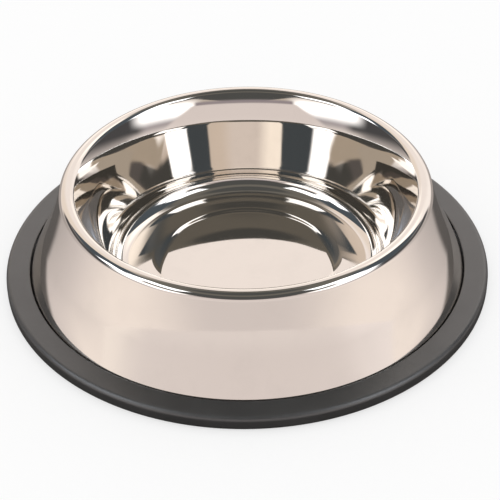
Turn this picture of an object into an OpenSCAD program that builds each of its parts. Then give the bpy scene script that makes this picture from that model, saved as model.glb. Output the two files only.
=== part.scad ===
// Non-tip stainless steel pet bowl with a rubber ring round its foot.
// The bowl is one pressed sheet: pan, rim and flared skirt, ending in a flat flange.
// The ring is a moulded rubber channel that is stretched over that flange.
// Units are millimetres. Z is the axis of the bowl, and z = 0 is the surface it stands on.

/* [Bowl] */
// Height of the top of the rim above the surface that the bowl stands on
bowl_height = 50.8; // [46:0.1:64]
// Diameter of the circle along the top of the rim
rim_d = 166.4; // [140:0.2:220]
// Thickness of the stainless steel sheet
sheet_t = 0.8; // [0.5:0.1:1.2]

/* [Rim] */
// Radius of the bend on the outer side of the rim, on the visible side of the sheet
rim_outer_r = 4.5; // [3:0.1:6]
// Radius of the bend on the inner side of the rim, on the visible side of the sheet
rim_inner_r = 3.6; // [3:0.1:6]

/* [Pan] */
// Height of the pan's floor above the surface, on its upper side, at the edge of the floor
pan_floor_z = 2.9; // [2.4:0.1:6]
// Slope of the floor's outer margin, which falls towards the step
floor_slope = 1; // [0.4:0.1:2]
// How far the raised middle of the floor lies inside the floor's edge, to half the step round it
pad_inset = 14.514; // [8:0.001:20]
// Slope of that step at its steepest
pad_lean = 12.5; // [6:0.5:16]
// Radius of the two bends that form the step
pad_bend_r = 17; // [8:0.5:20]
// Slope of the raised middle at its edge: it is a very shallow dome
pad_crown = 0.7; // [0.3:0.1:1.5]
// Lean of the pan's flared lip from the vertical, where it leaves the rim
lip_lean = 33; // [28:1:38]
// Length of the flared lip along its curve
lip_length = 14.5; // [8:0.5:16]
// Lean of the pan's wall from the vertical, just under the lip
wall_top_lean = 17.2; // [12:0.2:19]
// Lean of the wall from the vertical at its slackest, below the middle of the pan's depth
wall_low_lean = 21.6; // [20:0.2:24]
// Length of the wall along its curve between those two places
wall_length = 21.8; // [12:0.2:24]
// Lean of the wall from the vertical where it meets the corner
wall_foot_lean = 8.4; // [4:0.2:12]
// Radius of the corner between the wall and the floor, on its upper side
floor_corner_r = 8.5; // [6:0.5:12]

/* [Skirt] */
// Lean of the skirt from the vertical, just under the rim
skirt_top_lean = 14; // [8:1:18]
// Lean of the skirt from the vertical, over its straight lower part
skirt_foot_lean = 25.5; // [22:0.5:32]
// Height over which the skirt curves from one lean to the other
skirt_arc_drop = 24; // [12:1:30]
// Radius of the bend from the skirt to the flange, on the visible side of the sheet
foot_bend_r = 1.6; // [1:0.1:2]
// Width of the flat flange that the ring grips
flange_w = 5; // [3.5:0.5:8]

/* [Ring] */
// Height of the ring
ring_h = 7.3; // [6:0.1:9]
// Thickness of the ring's upper lip, over the flange
ring_lip_t = 2.5; // [2:0.1:3]
// Thickness of rubber outside the edge of the flange
ring_wall_t = 4.8; // [3:0.1:8]
// How far the ring's lower lip reaches in beyond the foot of the skirt
ring_toe_w = 4; // [2:0.5:8]
// Radius of the ring's upper outer edge
ring_top_edge_r = 2.4; // [1:0.1:3]
// Radius of the ring's lower outer edge
ring_low_edge_r = 2.2; // [0.5:0.1:2.4]
// Radius of the lip's upper edge, beside the skirt
ring_lip_edge_r = 0.6; // [0.5:0.1:1.5]
// Radius of the ring's small inner edges
ring_inner_edge_r = 0.5; // [0.3:0.1:0.8]
// Gap between the steel and the rubber, apart from where the flange rests
ring_gap = 0.15; // [0.05:0.05:0.3]

/* [Hidden] */
$fn = 96;
STEPS = 16;

// An outline is a chain of stations [r, z, a]: a point of the visible side of the sheet, and
// the direction of its outward normal in degrees. 90 points up, 0 away from the axis.
function unit(a) = [cos(a), sin(a)];
function spot(s) = [s[0], s[1]];
function last(chain) = chain[len(chain) - 1];

// Stations of a bend from station s: its radius is positive where the visible side is convex.
function bend(s, radius, a_end) = [
    for (i = [1:STEPS])
        let (a = s[2] + (a_end - s[2]) * i / STEPS, p = spot(s) + radius * (unit(a) - unit(s[2])))
        [p[0], p[1], a]
];

// The radius of a bend that has a given length and turns through a given angle.
function bend_r(length, turn) = length * 180 / (PI * turn);

// The inner chain runs from the top of the rim over the lip, down the wall and across the floor.
rim_top = [rim_d / 2, bowl_height, 90];
rim_inner = bend(rim_top, rim_inner_r, 180 - lip_lean);
lip = bend(last(rim_inner), bend_r(lip_length, lip_lean - wall_top_lean), 180 - wall_top_lean);
wall = bend(last(lip), -bend_r(wall_length, wall_low_lean - wall_top_lean), 180 - wall_low_lean);
wall_foot_z = pan_floor_z + floor_corner_r * (cos(floor_slope) - sin(wall_foot_lean));
wall_foot_r = (last(wall)[1] - wall_foot_z) / (sin(wall_low_lean) - sin(wall_foot_lean));
wall_foot = bend(last(wall), wall_foot_r, 180 - wall_foot_lean);
floor_corner = bend(last(wall_foot), -floor_corner_r, 90 + floor_slope);
pad_r = last(floor_corner)[0] - pad_inset;
step_r = pad_r + pad_bend_r * (sin(pad_lean) + sin(floor_slope));
margin_fall = (last(floor_corner)[0] - step_r) * tan(floor_slope);
margin = [step_r, last(floor_corner)[1] - margin_fall, 90 + floor_slope];
step_low = bend(margin, -pad_bend_r, 90 - pad_lean);
step_top = bend(last(step_low), pad_bend_r, 90 - pad_crown);
pad = bend(last(step_top), last(step_top)[0] / sin(pad_crown), 90);
inner_chain = concat(rim_inner, lip, wall, wall_foot, floor_corner, [margin], step_low, step_top, pad);

// The outer chain runs from the top of the rim down the skirt and out along the flange.
flange_top_z = ring_h - ring_lip_t - ring_gap;
rim_outer = bend(rim_top, rim_outer_r, skirt_top_lean);
skirt_r = skirt_arc_drop / (sin(skirt_foot_lean) - sin(skirt_top_lean));
skirt = bend(last(rim_outer), -skirt_r, skirt_foot_lean);
cone_drop = last(skirt)[1] - flange_top_z - foot_bend_r * (1 - sin(skirt_foot_lean));
cone_foot = last(skirt) + [cone_drop * tan(skirt_foot_lean), -cone_drop, 0];
foot_bend = bend(cone_foot, -foot_bend_r, 90);
flange_edge = [last(foot_bend)[0] + flange_w, flange_top_z, 90];
outer_chain = concat(rim_outer, skirt, [cone_foot], foot_bend, [flange_edge]);

// The ring takes its slot and its upper lip from the flange and the skirt.
flange_under_z = flange_top_z - sheet_t;
slot_top_z = flange_top_z + ring_gap;
slot_r = flange_edge[0] + ring_gap;
ring_r = slot_r + ring_wall_t;
lip_top_r = cone_foot[0] - (ring_h - cone_foot[1]) * tan(skirt_foot_lean) + ring_gap;
lip_slot_r = last(foot_bend)[0];
toe_r = cone_foot[0] - ring_toe_w;

// Points of a rounded corner, from direction a0 to a1 about its centre c.
function corner(c, radius, a0, a1) = [for (i = [0:STEPS]) c + radius * unit(a0 + (a1 - a0) * i / STEPS)];

// The whole sheet, from the middle of the floor to the edge of the flange.
function reversed(chain) = [for (i = [len(chain) - 1:-1:0]) chain[i]];
sheet = concat(reversed(inner_chain), [rim_top], outer_chain);

module steel_bowl() {
    visible_side = [for (s = sheet) spot(s)];
    hidden_side = [for (s = reversed(sheet)) spot(s) - sheet_t * unit(s[2])];
    color("silver")
        rotate_extrude()
            polygon(concat(visible_side, hidden_side));
}

module rubber_ring() {
    outline = concat(
        corner([lip_top_r + ring_lip_edge_r, ring_h - ring_lip_edge_r], ring_lip_edge_r, 180, 90),
        corner([ring_r - ring_top_edge_r, ring_h - ring_top_edge_r], ring_top_edge_r, 90, 0),
        corner([ring_r - ring_low_edge_r, ring_low_edge_r], ring_low_edge_r, 0, -90),
        corner([toe_r + ring_inner_edge_r, ring_inner_edge_r], ring_inner_edge_r, -90, -180),
        corner([toe_r + ring_inner_edge_r, flange_under_z - ring_inner_edge_r], ring_inner_edge_r, 180, 90),
        [[slot_r, flange_under_z], [slot_r, slot_top_z], [lip_slot_r, slot_top_z]]
    );
    color([0.2, 0.19, 0.18])
        rotate_extrude()
            polygon(outline);
}

steel_bowl();
rubber_ring();
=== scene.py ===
"""Non-tip stainless steel pet bowl: the looks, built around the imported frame.

The pressed steel bowl and the rubber ring round its foot are surfaces of revolution. Each is a
chain of stations, which are points of a section with the direction of the surface there, turned
about Z. The studio is a world by direction: soft boxes, cream walls and a dark ceiling that the
polished steel reflects.
"""
import math

import bpy
import numpy as np
from bpy.props import FloatProperty, FloatVectorProperty, IntProperty, PointerProperty
from mathutils import Matrix, Vector


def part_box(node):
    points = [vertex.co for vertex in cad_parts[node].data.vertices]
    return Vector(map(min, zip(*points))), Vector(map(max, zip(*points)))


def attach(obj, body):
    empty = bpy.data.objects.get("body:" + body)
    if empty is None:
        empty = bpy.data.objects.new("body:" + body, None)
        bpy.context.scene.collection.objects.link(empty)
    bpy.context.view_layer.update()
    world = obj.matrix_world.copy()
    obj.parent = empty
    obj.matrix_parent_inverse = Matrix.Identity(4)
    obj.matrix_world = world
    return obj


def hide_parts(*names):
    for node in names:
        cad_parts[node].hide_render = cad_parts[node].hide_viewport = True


bl_info = {
    "name": "Non-Tip Pet Bowl",
    "version": (1, 0, 0),
    "blender": (4, 5, 0),
    "location": "View3D > Sidebar > Pet Bowl",
    "description": "Builds a polished steel pet bowl with a rubber ring, and a studio for it",
    "category": "Add Mesh",
}

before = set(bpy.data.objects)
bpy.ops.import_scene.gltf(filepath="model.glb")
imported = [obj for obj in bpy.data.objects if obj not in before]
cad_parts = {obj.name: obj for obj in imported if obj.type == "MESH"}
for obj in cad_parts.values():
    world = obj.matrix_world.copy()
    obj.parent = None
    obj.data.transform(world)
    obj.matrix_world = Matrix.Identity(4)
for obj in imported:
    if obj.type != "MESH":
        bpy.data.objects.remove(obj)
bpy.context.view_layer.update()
BOWL_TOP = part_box("steel_bowl")[1].z
RING_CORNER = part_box("rubber_ring")[1]
PHOTO_PX = 500
SENSOR_MM = 36.0
MM = 0.001


def length(name, description, millimetres):
    """A length property, with its default given in millimetres."""
    return FloatProperty(name=name, description=description, default=millimetres * MM, unit="LENGTH")


def angle(name, description, degrees):
    """An angle property, with its default given in degrees."""
    return FloatProperty(name=name, description=description, default=math.radians(degrees),
                         unit="ROTATION", subtype="ANGLE")


def number(name, description, default):
    """A plain number property."""
    return FloatProperty(name=name, description=description, default=default, precision=4)


def colour(name, description, default):
    """A colour property."""
    return FloatVectorProperty(name=name, description=description, default=default,
                               subtype="COLOR", size=3, min=0.0, soft_max=2.0)


class BowlSizes(bpy.types.PropertyGroup):
    """Sizes of the pressed steel sheet."""

    height: length("Height", "Top of the rim above the floor", BOWL_TOP / MM)
    rim_d: length("Rim diameter", "Diameter of the circle along the top of the rim", 166.4)
    sheet_t: length("Sheet", "Thickness of the steel", 0.8)
    rim_outer_r: length("Outer rim radius", "Bend on the outer side of the rim", 4.5)
    rim_inner_r: length("Inner rim radius", "Bend on the inner side of the rim", 3.6)
    pan_floor_z: length("Pan floor", "Height of the edge of the pan's floor", 2.9)
    floor_slope: angle("Floor slope", "Slope of the pan's floor at its edge", 1.0)
    pad_inset: length("Pad inset", "From the floor's edge in to half the step of its raised middle", 14.514)
    pad_lean: angle("Pad step slope", "Slope of that step at its steepest", 12.5)
    pad_bend_r: length("Pad bend radius", "Radius of the two bends of the step", 17.0)
    pad_crown: angle("Pad crown", "Slope of the raised middle at its edge", 0.7)
    lip_lean: angle("Lip lean", "Lean of the flared lip where it leaves the rim", 33)
    lip_length: length("Lip length", "Length of the flared lip along its curve", 14.5)
    wall_top_lean: angle("Wall lean, top", "Lean of the pan's wall under the lip", 17.2)
    wall_low_lean: angle("Wall lean, low", "Lean of the pan's wall at its slackest", 21.6)
    wall_length: length("Wall length", "Length of the wall between those leans", 21.8)
    wall_foot_lean: angle("Wall lean, foot", "Lean of the wall where the corner starts", 8.4)
    floor_corner_r: length("Corner radius", "Bend from the wall to the floor", 8.5)
    skirt_top_lean: angle("Skirt lean, top", "Lean of the skirt under the rim", 14)
    skirt_foot_lean: angle("Skirt lean, foot", "Lean of the skirt's straight lower part", 25.5)
    skirt_arc_drop: length("Skirt arc", "Height over which the skirt curves", 24.0)
    foot_bend_r: length("Foot bend radius", "Bend from the skirt to the flange", 1.6)
    flange_w: length("Flange", "Width of the flange inside the ring", 5.0)


class RingSizes(bpy.types.PropertyGroup):
    """Sizes of the moulded rubber ring."""

    height: length("Height", "Height of the ring", RING_CORNER.z / MM)
    outer_r: length("Outer radius", "Radius of the ring outside", RING_CORNER.x / MM)
    lip_t: length("Lip", "Thickness of the lip over the flange", 2.5)
    gap: length("Gap", "Gap between steel and rubber", 0.15)
    toe_w: length("Toe", "How far the lower lip reaches in under the skirt", 4.0)
    top_edge_r: length("Top edge radius", "Rounding of the upper outer edge", 2.4)
    low_edge_r: length("Low edge radius", "Rounding of the lower outer edge", 2.2)
    lip_edge_r: length("Lip edge radius", "Rounding of the lip's upper edge beside the skirt", 0.6)
    inner_edge_r: length("Inner edge radius", "Rounding of the small inner edges", 0.5)
    slot_edge_r: length("Slot edge radius", "Rounding inside the slot", 0.2)


class Finish(bpy.types.PropertyGroup):
    """Colours, roughness and relief of steel and rubber."""

    segments: IntProperty(name="Segments", description="Faces round each piece", default=336, min=96)
    steel: colour("Steel", "Colour of the polished steel", (0.745, 0.705, 0.66))
    deep_glow: colour("Deep glow", "Light left after many reflections in the pan", (0.22, 0.24, 0.28))
    steel_rough: number("Steel roughness", "Roughness of the pan's polish", 0.035)
    corner_rough: number("Corner roughness", "Roughness in the corner of the pan", 0.05)
    skirt_rough: number("Skirt roughness", "Roughness of the skirt, which is polished less", 0.07)
    line_spacing: length("Line spacing", "Spacing of the fine polishing lines", 0.4)
    line_height: length("Line height", "Height of the fine polishing lines", 0.0004)
    wave_length: length("Wave length", "Length of the slow waves in the steel", 45)
    wave_height: length("Wave height", "Height of the slow waves in the steel", 0.22)
    rubber: colour("Rubber", "Colour of the rubber", (0.031, 0.031, 0.031))
    rubber_rough: number("Rubber roughness", "Roughness of the moulded rubber", 0.40)
    rubber_ior: number("Rubber IOR", "Index of refraction of the rubber", 1.6)
    rubber_shine: number("Rubber shine", "Specular level of the rubber", 0.95)
    clouds_per_m: number("Clouds", "Cloudy patches on a metre of rubber", 38.0)
    cloud_height: length("Cloud height", "Height of the cloudy patches", 0.2)
    dust_per_m: number("Dust", "Specks of dust on a metre of rubber", 420.0)
    grains_per_m: number("Grains", "Grains on a metre of rubber", 2600.0)
    grain_height: length("Grain height", "Height of the grain", 0.04)


class Studio(bpy.types.PropertyGroup):
    """Camera, floor and the plain level of the light."""

    elevation: angle("Elevation", "How far the camera looks down", 37.52)
    roll: angle("Roll", "Turn of the camera about its own axis", 0.86)
    distance: length("Distance", "Camera to the middle of the bowl's foot", 747.5)
    focal_px: number("Focal length", "Focal length in pixels of the photograph", 1532.0)
    centre_x: number("Centre X", "Where the foot's middle falls in the photograph", 247.05)
    centre_y: number("Centre Y", "Where the foot's middle falls in the photograph", 266.07)
    light: number("Light", "Plain level of the light on matt surfaces", 0.97)
    floor_side: length("Floor side", "Side of the square floor", 12000)
    floor_seen: colour("Floor, seen", "Colour of the floor in front of the camera", (0.995, 0.995, 0.995))
    shadow: number("Shadow", "Share of the seen floor that takes the object's shadow", 0.35)
    floor_mirrored: colour("Floor, mirrored", "Colour of the floor in reflections", (0.87, 0.79, 0.77))
    # Painted shade: the mirrored floor is dimmer behind the bowl.
    floor_back_shade: colour("Floor, back shade", "Colour of the mirrored floor behind the bowl", (0.48, 0.435, 0.415))
    # Painted shadow: the mirrored floor is dark close to the bowl, where the bowl shades it.
    floor_foot_shadow: colour("Floor, foot shadow", "Colour of the mirrored floor close to the bowl", (0.14, 0.13, 0.125))
    floor_pool: colour("Light pools", "What the soft boxes add to the mirrored floor", (0.31, 0.28, 0.235))


# The sections.

# How many times its least steps an arc has, on the visible side of the sheet and elsewhere.
FINE_DETAIL = 3
COARSE_DETAIL = 1
# Steps of the flange's round edge, and of each corner of the ring.
EDGE_STEPS = 6
CORNER_STEPS = 10
# A point nearer to the axis than this is a pole.
POLE_R = 1e-9


def unit(angles):
    """Unit vectors [cos, sin] of angles in radians, along a new last axis."""
    return np.stack([np.cos(angles), np.sin(angles)], axis=-1)


def bend(start, radius, end_angle, count):
    """Stations [r, z, normal angle] of an arc from station start.

    The point moves by the radius times the change of the unit normal, so a positive radius bends
    the visible side outward and a negative one hollows it.
    """
    angles = np.linspace(start[2], end_angle, count + 1)[1:]
    places = start[:2] + radius * (unit(angles) - unit(start[2]))
    return np.column_stack([places, angles])


def inner_chain(s, rim_top, detail):
    """The visible side from the top of the rim over the lip, down the wall and over the floor.

    The lip and the wall are arcs whose radius is their length over their turn. The lower wall's
    radius is the drop that is left, over the change in the sine of its lean. The number before
    detail is how many steps an arc has at the least detail.
    """
    up, level = math.pi, math.pi / 2
    rim = bend(rim_top, s.rim_inner_r, up - s.lip_lean, 7 * detail)
    lip_r = s.lip_length / (s.lip_lean - s.wall_top_lean)
    lip = bend(rim[-1], lip_r, up - s.wall_top_lean, 5 * detail)
    wall_r = s.wall_length / (s.wall_low_lean - s.wall_top_lean)
    wall = bend(lip[-1], -wall_r, up - s.wall_low_lean, 6 * detail)
    foot_z = s.pan_floor_z + s.floor_corner_r * (math.cos(s.floor_slope) - math.sin(s.wall_foot_lean))
    foot_r = (wall[-1, 1] - foot_z) / (math.sin(s.wall_low_lean) - math.sin(s.wall_foot_lean))
    foot = bend(wall[-1], foot_r, up - s.wall_foot_lean, 5 * detail)
    corner = bend(foot[-1], -s.floor_corner_r, level + s.floor_slope, 13 * detail)
    pad_r = corner[-1, 0] - s.pad_inset
    step_r = pad_r + s.pad_bend_r * (math.sin(s.pad_lean) + math.sin(s.floor_slope))
    fall = (corner[-1, 0] - step_r) * math.tan(s.floor_slope)
    margin = np.array([[step_r, corner[-1, 1] - fall, corner[-1, 2]]])
    step = bend(margin[-1], -s.pad_bend_r, level - s.pad_lean, 4 * detail)
    step_top = bend(step[-1], s.pad_bend_r, level - s.pad_crown, 4 * detail)
    pad = bend(step_top[-1], step_top[-1, 0] / math.sin(s.pad_crown), level, 3 * detail)
    pad[-1, 0] = 0.0
    return np.concatenate([rim, lip, wall, foot, corner, margin, step, step_top, pad])


def outer_chain(s, rim_top, flange_z, detail):
    """The visible side from the top of the rim down the skirt and out along the flange.

    The skirt is a hollow arc, whose radius is its drop over the change in the sine of its lean,
    and under it a straight cone down to the bend at the foot.
    """
    level = math.pi / 2
    rim = bend(rim_top, s.rim_outer_r, s.skirt_top_lean, 8 * detail)
    skirt_r = s.skirt_arc_drop / (math.sin(s.skirt_foot_lean) - math.sin(s.skirt_top_lean))
    skirt = bend(rim[-1], -skirt_r, s.skirt_foot_lean, 9 * detail)
    cone_drop = skirt[-1, 1] - flange_z - s.foot_bend_r * (1 - math.sin(s.skirt_foot_lean))
    cone = skirt[-1] + [cone_drop * math.tan(s.skirt_foot_lean), -cone_drop, 0.0]
    foot = bend(cone, -s.foot_bend_r, level, 3 * detail)
    edge = foot[-1] + [s.flange_w - s.sheet_t / 2, 0.0, 0.0]
    return np.concatenate([rim, skirt, [cone], foot, [edge]]), cone


def sheet_outline(s, ring):
    """The sheet's section, anticlockwise: hidden side, round edge, and visible side back.

    The hidden side lies one sheet below the visible one, along its normal, and has a third of
    its stations.
    """
    rim_top = np.array([s.rim_d / 2, s.height, math.pi / 2])
    flange_z = ring.height - ring.lip_t - ring.gap
    visible, hidden = (np.concatenate([inner_chain(s, rim_top, detail)[::-1], [rim_top],
                                       outer_chain(s, rim_top, flange_z, detail)[0]])
                       for detail in (FINE_DETAIL, COARSE_DETAIL))
    edge = bend(visible[-1], s.sheet_t / 2, -math.pi / 2, EDGE_STEPS)[:-1]
    hidden = hidden[::-1]
    hidden[:, :2] -= s.sheet_t * unit(hidden[:, 2])
    hidden[:, 2] += math.pi
    hidden[-1, 0] = 0.0
    return np.concatenate([visible, edge, hidden])[::-1]


def rounded_outline(corners, radii, count):
    """A closed outline, anticlockwise, with each corner rounded by an arc that touches both sides.

    The arc starts before the corner by its radius times the tangent of half the turn, and its
    normals turn evenly from one side's normal to the next one's.
    """
    along = np.roll(corners, -1, axis=0) - corners
    heading = np.arctan2(along[:, 1], along[:, 0])
    heading_in = np.roll(heading, 1)
    turn = (heading - heading_in + math.pi) % (2 * math.pi) - math.pi
    start = corners - unit(heading_in) * (radii * np.tan(np.abs(turn) / 2))[:, None]
    first = heading_in - math.pi / 2
    angles = first[:, None] + turn[:, None] * np.linspace(0, 1, count + 1)
    swing = unit(angles) - unit(first)[:, None]
    places = start[:, None] + (np.sign(turn) * radii)[:, None, None] * swing
    return np.column_stack([places.reshape(-1, 2), angles.ravel()])


def ring_outline(bowl, s):
    """The ring's section: a channel whose slot takes the flange and whose lip follows the skirt."""
    outer, cone = outer_chain(bowl, np.array([bowl.rim_d / 2, bowl.height, math.pi / 2]),
                              s.height - s.lip_t - s.gap, COARSE_DETAIL)
    flange_z, flange_r = outer[-1, 1], outer[-1, 0] + bowl.sheet_t / 2
    skirt_at_top = cone[0] - (s.height - cone[1]) * math.tan(cone[2])
    slot_top, slot_low, slot_r = flange_z + s.gap, flange_z - bowl.sheet_t, flange_r + s.gap
    toe_r = cone[0] - s.toe_w
    corners = np.array([
        [toe_r, 0.0], [s.outer_r, 0.0], [s.outer_r, s.height], [skirt_at_top + s.gap, s.height],
        [outer[-2, 0], slot_top], [slot_r, slot_top], [slot_r, slot_low], [toe_r, slot_low],
    ])
    radii = np.array([s.inner_edge_r, s.low_edge_r, s.top_edge_r, s.lip_edge_r,
                      s.slot_edge_r, s.slot_edge_r, s.slot_edge_r, s.inner_edge_r])
    return rounded_outline(corners, radii, CORNER_STEPS)


# The meshes.


def lathe(name, outline, segments):
    """Turns an anticlockwise outline about Z into a closed smooth mesh with its own normals.

    A point is [r cos, r sin, z] at each of the even steps of the turn. An outline that starts and
    ends on the axis gets a pole at each end, and any other is joined end to end.
    """
    has_poles = outline[0, 0] < POLE_R
    rings = outline[1:-1] if has_poles else outline
    turns = np.linspace(0, 2 * np.pi, segments, endpoint=False)
    spokes = unit(turns)
    flat = rings[:, None, 0:1] * spokes[None]
    heights = np.broadcast_to(rings[:, None, 1:2], flat.shape[:2] + (1,))
    points = np.concatenate([flat, heights], axis=-1).reshape(-1, 3)
    out = unit(rings[:, 2])
    sides = out[:, None, 0:1] * spokes[None]
    ups = np.broadcast_to(out[:, None, 1:2], sides.shape[:2] + (1,))
    normals = np.concatenate([sides, ups], axis=-1).reshape(-1, 3)
    count = len(rings)
    last = count - 1 if has_poles else count
    i, j = np.meshgrid(np.arange(last), np.arange(segments), indexing="ij")
    here, there = i * segments, (i + 1) % count * segments
    after = (j + 1) % segments
    faces = np.stack([here + j, here + after, there + after, there + j], axis=-1)
    faces = faces.reshape(-1, 4).tolist()
    if has_poles:
        j = np.arange(segments)
        after = (j + 1) % segments
        first, end = np.full(segments, len(points)), np.full(segments, len(points) + 1)
        base = (count - 1) * segments
        faces += np.stack([first, after, j], axis=-1).tolist()
        faces += np.stack([end, base + j, base + after], axis=-1).tolist()
        points = np.concatenate([points, [[0, 0, outline[0, 1]], [0, 0, outline[-1, 1]]]])
        normals = np.concatenate([normals, [[0, 0, -1], [0, 0, 1]]])
    mesh = bpy.data.meshes.new(name)
    mesh.from_pydata(points, [], faces)
    mesh.polygons.foreach_set("use_smooth", np.ones(len(mesh.polygons), bool))
    mesh.update()
    mesh.normals_split_custom_set_from_vertices(normals)
    piece = bpy.data.objects.new(name, mesh)
    bpy.context.scene.collection.objects.link(piece)
    return piece


def dress(piece, node, material):
    """Puts a finished piece in the place of its CAD node, with its material."""
    piece.data.materials.append(material)
    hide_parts(node)
    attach(piece, "root")


# The shader nodes.

BLACK = (0.0, 0.0, 0.0, 1.0)
WHITE = (1.0, 1.0, 1.0, 1.0)


class Tree:
    """Short calls that add nodes to one node tree."""

    def __init__(self, tree):
        self.tree = tree

    def add(self, kind, **settings):
        node = self.tree.nodes.new(kind)
        for key, value in settings.items():
            setattr(node, key, value)
        return node

    def link(self, source, target):
        self.tree.links.new(source, target)

    def feed(self, socket, value):
        if isinstance(value, bpy.types.NodeSocket):
            self.link(value, socket)
        else:
            socket.default_value = value

    def math(self, operation, *values, clamp=False):
        node = self.add("ShaderNodeMath", operation=operation, use_clamp=clamp)
        for socket, value in zip(node.inputs, values):
            self.feed(socket, value)
        return node.outputs[0]

    def ramp(self, value, low, high, to_low=0.0, to_high=1.0):
        node = self.add("ShaderNodeMapRange", interpolation_type="SMOOTHSTEP")
        for key, item in zip(("Value", "From Min", "From Max", "To Min", "To Max"),
                             (value, low, high, to_low, to_high)):
            self.feed(node.inputs[key], item)
        return node.outputs[0]

    def mix(self, share, first, second):
        # The colours are inputs 6 and 7 of a Mix node, and its colour output is number 2.
        node = self.add("ShaderNodeMix", data_type="RGBA")
        for socket, value in zip((node.inputs[0], node.inputs[6], node.inputs[7]),
                                 (share, first, second)):
            self.feed(socket, value)
        return node.outputs[2]

    def noise(self, vector, scale, detail=2.0, roughness=0.5):
        node = self.add("ShaderNodeTexNoise")
        self.feed(node.inputs["Vector"], vector)
        for key, value in (("Scale", scale), ("Detail", detail), ("Roughness", roughness)):
            node.inputs[key].default_value = value
        return node.outputs[0]

    def bump(self, height, distance, strength, normal=None):
        node = self.add("ShaderNodeBump")
        node.inputs["Strength"].default_value = strength
        node.inputs["Distance"].default_value = distance
        self.link(height, node.inputs["Height"])
        if normal is not None:
            self.link(normal, node.inputs["Normal"])
        return node.outputs[0]

    def group(self, group, **values):
        node = self.add("ShaderNodeGroup", node_tree=group)
        for key, value in values.items():
            self.feed(node.inputs[key.replace("_", " ")], value)
        return node.outputs


def new_group(name, inputs, outputs):
    """A shader node group with float or vector sockets: its tree, its inputs and its end node."""
    group = bpy.data.node_groups.new(name, "ShaderNodeTree")
    for socket, kind in inputs:
        group.interface.new_socket(socket, in_out="INPUT", socket_type="NodeSocket" + kind)
    for socket, kind in outputs:
        group.interface.new_socket(socket, in_out="OUTPUT", socket_type="NodeSocket" + kind)
    tree = Tree(group)
    return group, tree, tree.add("NodeGroupInput").outputs, tree.add("NodeGroupOutput").inputs


def lathe_coordinates():
    """Group: a point as [around the axis, out from it, up], so that lines can run round a piece.

    Around is the turn in radians, Out the radius and Up the height, in metres.
    """
    group, t, given, out = new_group("Lathe coordinates", [("Point", "Vector")],
                                     [("Turned", "Vector"), ("Out", "Float")])
    split = t.add("ShaderNodeSeparateXYZ")
    t.link(given["Point"], split.inputs[0])
    x, y, z = split.outputs
    radius = t.math("SQRT", t.math("ADD", t.math("MULTIPLY", x, x), t.math("MULTIPLY", y, y)))
    join = t.add("ShaderNodeCombineXYZ")
    t.link(t.math("ARCTAN2", y, x), join.inputs[0])
    t.link(radius, join.inputs[1])
    t.link(z, join.inputs[2])
    t.link(join.outputs[0], out["Turned"])
    t.link(radius, out["Out"])
    return group


def soft_window():
    """Group: a mask that is 1 inside a window of azimuth and elevation, with soft edges.

    The sides move out by the splay times the drop below the window's top.
    """
    names = ["Azimuth", "Elevation", "Left", "Right", "Bottom", "Top", "Edge", "Edge up", "Splay"]
    group, t, given, out = new_group("Soft window", [(n, "Float") for n in names],
                                     [("Mask", "Float")])

    def band(value, low, high, edge):
        rise = t.ramp(value, t.math("SUBTRACT", low, edge), t.math("ADD", low, edge))
        fall = t.ramp(value, t.math("SUBTRACT", high, edge), t.math("ADD", high, edge))
        return t.math("SUBTRACT", rise, fall, clamp=True)

    drop = t.math("SUBTRACT", given["Top"], given["Elevation"])
    shift = t.math("MULTIPLY", given["Splay"], drop)
    across = band(given["Azimuth"], t.math("SUBTRACT", given["Left"], shift),
                  t.math("ADD", given["Right"], shift), given["Edge"])
    up = band(given["Elevation"], given["Bottom"], given["Top"], given["Edge up"])
    t.link(t.math("MULTIPLY", across, up), out["Mask"])
    return group


# The mirrored floor. Azimuths of a wedge: where it starts, is full, starts to fade and is gone.
LEFT_WEDGE = (-94.0, -66.0, -58.0, -15.0)
RIGHT_WEDGE = (15.0, 62.0, 72.0, 98.0)
# Distances from the axis between which the wedges come up.
WEDGE_START_R = (0.10, 0.28)
# Azimuths, on either side, between which painted shade makes the floor dimmer towards the back.
BACK_SHADE_START = (80.0, 120.0)
# Distances from the axis between which the painted shadow round the bowl's foot ends.
FOOT_SHADOW_END_R = (0.140, 0.151)


def floor_light():
    """Group: light and shade painted on the mirrored floor: two wedges of painted light from the soft
    boxes, painted shade at the back and a painted shadow at the foot.

    The azimuth is the arc tangent of x over minus y. The wedges start a little way out, and the
    foot is the ring of floor just round the bowl, where a painted shadow stands for the shade the
    bowl casts.
    """
    group, t, given, out = new_group("Floor light", [("Point", "Vector")],
                                     [("Wedges", "Float"), ("Back", "Float"), ("Foot", "Float")])
    split = t.add("ShaderNodeSeparateXYZ")
    t.link(given["Point"], split.inputs[0])
    x, y, _ = split.outputs
    azimuth = t.math("DEGREES", t.math("ARCTAN2", x, t.math("MULTIPLY", y, -1.0)))
    away = t.add("ShaderNodeVectorMath", operation="LENGTH")
    t.link(given["Point"], away.inputs[0])

    def wedge(start, full, fading, gone):
        return t.math("MULTIPLY", t.ramp(azimuth, start, full), t.ramp(azimuth, gone, fading))

    out_there = t.ramp(away.outputs["Value"], *WEDGE_START_R)
    both = t.math("ADD", wedge(*LEFT_WEDGE), wedge(*RIGHT_WEDGE))
    t.link(t.math("MULTIPLY", both, out_there), out["Wedges"])
    # The back mask places the painted shade behind the bowl.
    t.link(t.ramp(t.math("ABSOLUTE", azimuth), *BACK_SHADE_START), out["Back"])
    # The foot mask places the painted shadow round the bowl.
    t.link(t.ramp(away.outputs["Value"], *FOOT_SHADOW_END_R, to_low=1.0, to_high=0.0), out["Foot"])
    return group


# Changes of a polishing line on one radian of its way round the axis.
LINE_CHANGES = 5.0
# Patches of haze on the length of one wave.
HAZE_PATCHES = 3.0


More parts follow.
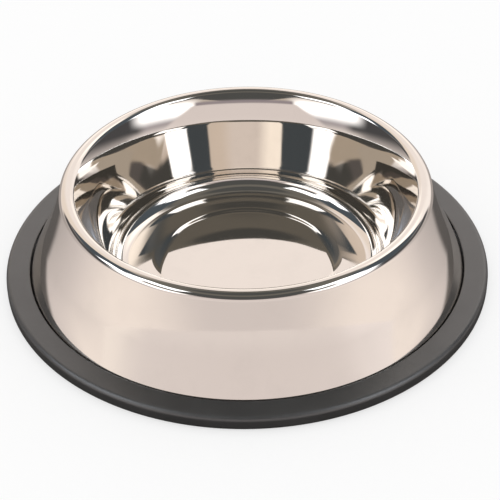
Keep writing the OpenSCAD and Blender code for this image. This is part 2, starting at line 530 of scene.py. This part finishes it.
def hand_polish():
    """Group: what polishing leaves: a haze mask, fine lines round the axis and slow waves."""
    group, t, given, out = new_group(
        "Hand polish", [("Point", "Vector"), ("Line spacing", "Float"), ("Wave length", "Float")],
        [("Haze", "Float"), ("Lines", "Float"), ("Waves", "Float")])
    turned = t.group(COORDINATES, Point=given["Point"])["Turned"]
    stretch = t.add("ShaderNodeVectorMath", operation="MULTIPLY")
    t.link(turned, stretch.inputs[0])
    per_line = t.math("DIVIDE", 1.0, given["Line spacing"])
    scales = t.add("ShaderNodeCombineXYZ")
    scales.inputs[0].default_value = LINE_CHANGES
    t.link(per_line, scales.inputs[1])
    t.link(per_line, scales.inputs[2])
    t.link(scales.outputs[0], stretch.inputs[1])
    t.link(t.noise(stretch.outputs[0], scale=1.0, detail=3.0, roughness=0.6), out["Lines"])
    slow = t.add("ShaderNodeVectorMath", operation="SCALE")
    t.link(given["Point"], slow.inputs[0])
    t.link(t.math("DIVIDE", 1.0, given["Wave length"]), slow.inputs["Scale"])
    t.link(t.noise(slow.outputs[0], scale=1.0, detail=1.0, roughness=0.4), out["Waves"])
    patches = t.noise(slow.outputs[0], scale=HAZE_PATCHES, detail=4.0, roughness=0.6)
    t.link(t.ramp(patches, low=0.45, high=0.75), out["Haze"])
    return group


def new_material(name):
    """An empty node material: its tree, its Principled BSDF and its Object coordinates."""
    material = bpy.data.materials.new(name)
    material.use_nodes = True
    material.node_tree.nodes.clear()
    t = Tree(material.node_tree)
    shader = t.add("ShaderNodeBsdfPrincipled")
    output = t.add("ShaderNodeOutputMaterial")
    t.link(shader.outputs[0], output.inputs[0])
    return material, t, shader, t.add("ShaderNodeTexCoord").outputs["Object"]


def rgba(values, factor=1.0):
    """A colour property as four numbers, brightened by a factor."""
    return tuple(v * factor for v in values) + (1.0,)


# Ray depth at the steel past which light ends in the dim glow.
MIRROR_DEPTH = 3.5
# Radii over which the corner's slacker polish comes up, and over which it ends.
CORNER_IN_R = (46 * MM, 52 * MM)
CORNER_OUT_R = (62 * MM, 72 * MM)
# Width over which the pan's polish gives way to the skirt's, outside the rim.
POLISH_FADE = 2 * MM
# What haze does to the steel: share of its colour that is left, and factors of its roughness.
HAZE_COLOUR = 0.975
HAZE_ROUGH = (0.9, 1.4)


def polished_steel(finish, rim_r):
    """Mirror steel: nearly smooth, with faint lines round the axis, slow waves and haze.

    Outside the rim's radius the surface is the skirt, which is polished less than the pan. In the
    pan the corner between wall and floor is polished a little less than the rest. Light that has
    already met the steel many times ends in a dim glow, where a renderer would stop it and leave
    black.
    """
    material, t, shader, point = new_material("polished_steel")
    polish = t.group(POLISH, Point=point, Line_spacing=finish.line_spacing,
                     Wave_length=finish.wave_length)
    shader.inputs["Metallic"].default_value = 1.0
    base = t.mix(polish["Haze"], rgba(finish.steel), rgba(finish.steel, HAZE_COLOUR))
    t.link(base, shader.inputs["Base Color"])
    out = t.group(COORDINATES, Point=point)["Out"]
    corner_ends = t.ramp(out, *CORNER_OUT_R, to_low=1.0, to_high=0.0)
    corner = t.math("MULTIPLY", t.ramp(out, *CORNER_IN_R), corner_ends)
    pan_rough = t.ramp(corner, 0.0, 1.0, finish.steel_rough, finish.corner_rough)
    rough = t.ramp(out, rim_r, rim_r + POLISH_FADE, pan_rough, finish.skirt_rough)
    hazy = t.ramp(polish["Haze"], 0.0, 1.0, *HAZE_ROUGH)
    t.link(t.math("MULTIPLY", rough, hazy), shader.inputs["Roughness"])
    many = t.math("GREATER_THAN", t.add("ShaderNodeLightPath").outputs["Ray Depth"], MIRROR_DEPTH)
    t.link(t.mix(many, BLACK, rgba(finish.deep_glow)), shader.inputs["Emission Color"])
    shader.inputs["Emission Strength"].default_value = 1.0
    waves = t.bump(polish["Waves"], finish.wave_height, strength=1.0)
    lines = t.bump(polish["Lines"], finish.line_height, strength=1.0, normal=waves)
    t.link(lines, shader.inputs["Normal"])
    return material


# What the rubber's cloudy patches do, from dark to light: factors of its colour and roughness.
CLOUD_COLOUR = (0.9, 1.12)
CLOUD_ROUGH = (0.92, 1.1)
# Share of the dust that shows, and how much brighter than the rubber it is.
DUST_SHARE = 0.25
DUST_COLOUR = 2.4


def black_rubber(finish):
    """Satin moulded rubber: a fine grain, cloudy patches and a little dust on top."""
    material, t, shader, point = new_material("black_rubber")
    shader.inputs["IOR"].default_value = finish.rubber_ior
    shader.inputs["Specular IOR Level"].default_value = finish.rubber_shine
    clouds = t.noise(point, finish.clouds_per_m, detail=4.0, roughness=0.55)
    clouds = t.ramp(clouds, low=0.3, high=0.75)
    dust = t.noise(point, finish.dust_per_m, detail=4.0, roughness=0.7)
    dust = t.ramp(dust, low=0.55, high=0.85)
    base = t.mix(clouds, *(rgba(finish.rubber, factor) for factor in CLOUD_COLOUR))
    base = t.mix(t.math("MULTIPLY", dust, DUST_SHARE), base, rgba(finish.rubber, DUST_COLOUR))
    t.link(base, shader.inputs["Base Color"])
    rough = t.ramp(clouds, 0.0, 1.0, *(finish.rubber_rough * factor for factor in CLOUD_ROUGH))
    t.link(rough, shader.inputs["Roughness"])
    grain = t.noise(point, finish.grains_per_m, detail=3.0, roughness=0.6)
    grain = t.bump(grain, finish.grain_height, strength=0.5)
    t.link(t.bump(clouds, finish.cloud_height, strength=0.35, normal=grain), shader.inputs["Normal"])
    return material


# The studio.


def both_sides(name, near, far, *rest):
    """Two cards, left and right, that lie between two azimuths on either side of the camera."""
    return ("left " + name, -far, -near, *rest), ("right " + name, near, far, *rest)


CEILING = (0.096, 0.098, 0.096)

SOFT_BOX_TOPS = (
    ("left soft box, top", -99, -68, 28, 41, 3, 2, 0, (3.2, 3.35, 3.6)),
    ("right soft box, top", 57, 83, 28, 41, 5, 2, 0, (3.2, 3.35, 3.6)),
)

# Cards in front of the dark ceiling, later ones in front: name, azimuth from and to, elevation from
# and to, soft edge across and up, splay and colour. Degrees; azimuth 0 is behind the camera, right
# is positive.
CARDS = (
    ("ceiling rim", -181, 181, 60, 74, 4, 4, 0, (0.19, 0.18, 0.16)),
    *both_sides("back wall", 110, 200, -20, 55, 2, 2, 0, (1.14, 1.05, 1.01)),
    ("left end of the back wall", -154, -110, -20, 60, 12, 6, 0, (1.04, 0.92, 0.82)),
    ("right end of the back wall", 110, 152, -20, 38, 10, 6, 0, (1.26, 1.18, 1.14)),
    ("bright part of the back wall", 110, 154, 36, 56, 12, 5, 0, (1.70, 1.60, 1.50)),
    *both_sides("shoulder", 44, 70, 24, 34.5, 1.5, 1, 4.2, (0.66, 0.58, 0.51)),
    ("left shoulder's end", -80, -54, 24, 35, 5, 1, 0, (0.92, 0.81, 0.73)),
    ("right shoulder's end", 52, 80, 24, 35, 5, 1, 0, (0.92, 0.81, 0.73)),
    ("left dark gap", -128.5, -80, 22, 60, 1.5, 4, 0, (0.090, 0.110, 0.130)),
    ("right dark gap", 80, 127.5, 22, 60, 1.5, 4, 0, (0.090, 0.110, 0.130)),
    *both_sides("dark side", 76, 130, -20, 22, 3, 3, 0, (0.085, 0.084, 0.088)),
    *both_sides("grey drape", 40, 74, -20, 16, 5, 5, 0, (0.50, 0.46, 0.48)),
    ("left soft box, crown", -88, -46, 44.5, 60, 2, 2, 0, (2.6, 2.7, 2.85)),
    ("right soft box, crown", 46, 86, 44.5, 60, 2, 2, 0, (2.6, 2.7, 2.85)),
    *SOFT_BOX_TOPS,
    ("left soft box", -82, -34, 15, 30, 7, 5, 0, (2.1, 2.1, 2.15)),
    ("right soft box", 34, 77, 15, 30, 7, 5, 0, (2.1, 2.1, 2.15)),
    ("wall shelf", -34, 34, 20, 28.5, 1.5, 1.5, 0, (0.385, 0.338, 0.36)),
    ("front wall", -36, 36, -20, 24.8, 3, 1, 1.1, (0.895, 0.81, 0.79)),
    ("low wall", -84, 84, -90, 4, 5, 5, 0, (0.92, 0.84, 0.83)),
    *both_sides("back glow", 160, 200, -20, 24, 6, 6, 0, (1.45, 1.36, 1.28)),
    ("low light", -200, 200, -60, 4, 3, 8, 0, (0.97, 0.885, 0.855)),
    ("left low glow", -84, -58, -90, 4, 10, 7, 0, (1.19, 1.09, 1.02)),
    ("right low glow", 50, 84, -90, 4, 10, 7, 0, (1.13, 1.04, 1.02)),
)

# Cards that show only after two or more reflections, inside the pan: from down there the front
# wall is browner and dimmer than above the rim, and brown shoulders slope up to the soft boxes.
PAN_CARDS = (
    ("pan's wall shelf", -36, 36, 23, 30, 1.5, 1.5, 0, (0.16, 0.15, 0.15)),
    *both_sides("pan's shoulder", 44, 54, 23, 34, 2, 1, 4.2, (0.66, 0.58, 0.49)),
    ("pan's left soft box", -84, -54, 15, 30.5, 4, 1.5, 0, (2.1, 2.1, 2.15)),
    ("pan's right soft box", 54, 79, 15, 30.5, 4, 1.5, 0, (2.1, 2.1, 2.15)),
    *SOFT_BOX_TOPS,
    ("pan's front wall", -36, 36, -20, 24.8, 3, 1, 1.1, (0.65, 0.585, 0.51)),
)
# Ray depth at the world past which a ray has met the steel twice or more: once counts as 2.
PAN_DEPTH = 2.5


def draw_cards(t, cards, azimuth, elevation, shade, share):
    """Lays cards over a shade, each in its soft window, at a share from 0 to 1."""
    for name, left, right, bottom, top, edge, edge_up, splay, card in cards:
        mask = t.group(WINDOW, Azimuth=azimuth, Elevation=elevation, Left=left, Right=right,
                       Bottom=bottom, Top=top, Edge=edge, Edge_up=edge_up, Splay=splay)["Mask"]
        mask.node.label = name
        shade = t.mix(t.math("MULTIPLY", mask, share), shade, rgba(card))
    return shade


def studio_world(studio):
    """The world: white to the camera, a plain level to matt surfaces, and the cards to mirrors.

    Azimuth is the arc tangent of x over minus y, and elevation the arc sine of z.
    """
    world = bpy.data.worlds.new("studio")
    bpy.context.scene.world = world
    world.use_nodes = True
    world.node_tree.nodes.clear()
    t = Tree(world.node_tree)
    split = t.add("ShaderNodeSeparateXYZ")
    t.link(t.add("ShaderNodeTexCoord").outputs["Generated"], split.inputs[0])
    x, y, z = split.outputs
    azimuth = t.math("DEGREES", t.math("ARCTAN2", x, t.math("MULTIPLY", y, -1.0)))
    elevation = t.math("DEGREES", t.math("ARCSINE", z))
    ray = t.add("ShaderNodeLightPath").outputs
    shade = draw_cards(t, CARDS, azimuth, elevation, rgba(CEILING), 1.0)
    in_pan = t.math("GREATER_THAN", ray["Ray Depth"], PAN_DEPTH)
    shade = draw_cards(t, PAN_CARDS, azimuth, elevation, shade, in_pan)
    mirrored = t.add("ShaderNodeBackground")
    t.link(shade, mirrored.inputs["Color"])
    plain = t.add("ShaderNodeBackground")
    plain.inputs["Color"].default_value = WHITE
    plain.inputs["Strength"].default_value = studio.light
    white = t.add("ShaderNodeBackground")
    white.inputs["Color"].default_value = WHITE
    by_gloss = t.add("ShaderNodeMixShader")
    by_camera = t.add("ShaderNodeMixShader")
    for node, share, first, second in ((by_gloss, ray["Is Glossy Ray"], plain, mirrored),
                                       (by_camera, ray["Is Camera Ray"], by_gloss, white)):
        t.link(share, node.inputs[0])
        t.link(first.outputs[0], node.inputs[1])
        t.link(second.outputs[0], node.inputs[2])
    t.link(by_camera.outputs[0], t.add("ShaderNodeOutputWorld").inputs[0])


def studio_floor(studio):
    """A plain matt floor just under the ring, white to the camera and cream to mirrors."""
    half = studio.floor_side / 2
    mesh = bpy.data.meshes.new("studio_floor")
    mesh.from_pydata([(-half, -half, 0), (half, -half, 0), (half, half, 0), (-half, half, 0)], [],
                     [(0, 1, 2, 3)])
    floor = bpy.data.objects.new("studio_floor", mesh)
    bpy.context.scene.collection.objects.link(floor)
    material = bpy.data.materials.new("studio_floor")
    material.use_nodes = True
    material.node_tree.nodes.clear()
    t = Tree(material.node_tree)
    matt = t.add("ShaderNodeBsdfDiffuse")
    glow = t.add("ShaderNodeEmission")
    seen = t.add("ShaderNodeLightPath").outputs["Is Camera Ray"]
    light = t.group(FLOOR_LIGHT, Point=t.add("ShaderNodeTexCoord").outputs["Object"])
    # Painted shade: mirrors see the floor dimmer behind the bowl.
    mirrored = t.mix(light["Back"], rgba(studio.floor_mirrored), rgba(studio.floor_back_shade))
    # Painted shadow: mirrors see the floor dark round the bowl's foot.
    mirrored = t.mix(light["Foot"], mirrored, rgba(studio.floor_foot_shadow))
    t.link(t.mix(seen, mirrored, rgba(studio.floor_seen, studio.shadow)), matt.inputs["Color"])
    pool = t.mix(light["Wedges"], BLACK, rgba(studio.floor_pool))
    t.link(t.mix(seen, pool, rgba(studio.floor_seen, 1 - studio.shadow)), glow.inputs["Color"])
    both = t.add("ShaderNodeAddShader")
    t.link(matt.outputs[0], both.inputs[0])
    t.link(glow.outputs[0], both.inputs[1])
    t.link(both.outputs[0], t.add("ShaderNodeOutputMaterial").inputs[0])
    mesh.materials.append(material)


def studio_camera(studio):
    """The camera at the photograph's angle, aimed at the middle of the bowl's foot.

    Its back and up vectors lie in the YZ plane at the elevation, and are turned by the roll. The
    shift moves the foot's middle from the centre of the frame to its place in the photograph.
    """
    tilt, roll = studio.elevation, studio.roll
    back = Vector((0.0, -math.cos(tilt), math.sin(tilt)))
    right = Vector((1.0, 0.0, 0.0))
    up = Vector((0.0, math.sin(tilt), math.cos(tilt)))
    turned_right = math.cos(roll) * right - math.sin(roll) * up
    turned_up = math.sin(roll) * right + math.cos(roll) * up
    data = bpy.data.cameras.new("camera")
    data.sensor_width = SENSOR_MM
    data.lens = studio.focal_px * data.sensor_width / PHOTO_PX
    data.shift_x = (PHOTO_PX / 2 - studio.centre_x) / PHOTO_PX
    data.shift_y = (studio.centre_y - PHOTO_PX / 2) / PHOTO_PX
    camera = bpy.data.objects.new("camera", data)
    axes = Matrix((turned_right, turned_up, back)).transposed()
    camera.matrix_world = Matrix.Translation(back * studio.distance) @ axes.to_4x4()
    bpy.context.scene.collection.objects.link(camera)
    bpy.context.scene.camera = camera


# The operators.


class PETBOWL_OT_steel_bowl(bpy.types.Operator):
    """Lathe the pressed steel bowl: pan, rim, skirt and flange"""

    bl_idname = "petbowl.steel_bowl"
    bl_label = "Steel Bowl"

    def execute(self, context):
        scene = context.scene
        outline = sheet_outline(scene.petbowl_bowl, scene.petbowl_ring)
        piece = lathe("pressed_steel_bowl", outline, scene.petbowl_finish.segments)
        rim_r = scene.petbowl_bowl.rim_d / 2 + scene.petbowl_bowl.rim_outer_r
        dress(piece, "steel_bowl", polished_steel(scene.petbowl_finish, rim_r))
        return {"FINISHED"}


class PETBOWL_OT_rubber_ring(bpy.types.Operator):
    """Lathe the moulded rubber ring that grips the flange"""

    bl_idname = "petbowl.rubber_ring"
    bl_label = "Rubber Ring"

    def execute(self, context):
        scene = context.scene
        outline = ring_outline(scene.petbowl_bowl, scene.petbowl_ring)
        piece = lathe("moulded_rubber_ring", outline, scene.petbowl_finish.segments)
        dress(piece, "rubber_ring", black_rubber(scene.petbowl_finish))
        return {"FINISHED"}


class PETBOWL_OT_stage(bpy.types.Operator):
    """Build the camera, the floor and the studio's light"""

    bl_idname = "petbowl.stage"
    bl_label = "Stage"

    def execute(self, context):
        studio = context.scene.petbowl_studio
        context.scene.view_settings.view_transform = "Standard"
        studio_world(studio)
        studio_floor(studio)
        studio_camera(studio)
        return {"FINISHED"}


class PETBOWL_PT_panel(bpy.types.Panel):
    """The pet bowl's operators and settings"""

    bl_idname = "PETBOWL_PT_panel"
    bl_label = "Pet Bowl"
    bl_space_type = "VIEW_3D"
    bl_region_type = "UI"
    bl_category = "Pet Bowl"

    def draw(self, context):
        for operator in OPERATORS:
            self.layout.operator(operator.bl_idname)
        for settings in SETTINGS:
            box = self.layout.box()
            group = getattr(context.scene, settings)
            for name in group.bl_rna.properties.keys():
                if name not in ("rna_type", "name"):
                    box.prop(group, name)


OPERATORS = (PETBOWL_OT_stage, PETBOWL_OT_steel_bowl, PETBOWL_OT_rubber_ring)
SETTINGS = {"petbowl_bowl": BowlSizes, "petbowl_ring": RingSizes, "petbowl_finish": Finish,
            "petbowl_studio": Studio}
CLASSES = tuple(SETTINGS.values()) + OPERATORS + (PETBOWL_PT_panel,)


def register():
    for item in CLASSES:
        bpy.utils.register_class(item)
    for name, group in SETTINGS.items():
        setattr(bpy.types.Scene, name, PointerProperty(type=group))


def unregister():
    for name in SETTINGS:
        delattr(bpy.types.Scene, name)
    for item in reversed(CLASSES):
        bpy.utils.unregister_class(item)


def main():
    """Registers the add-on, and builds the stage and both pieces."""
    register()
    bpy.ops.petbowl.stage()
    bpy.ops.petbowl.steel_bowl()
    bpy.ops.petbowl.rubber_ring()


COORDINATES = lathe_coordinates()
WINDOW = soft_window()
FLOOR_LIGHT = floor_light()
POLISH = hand_polish()

if __name__ == "__main__":
    main()
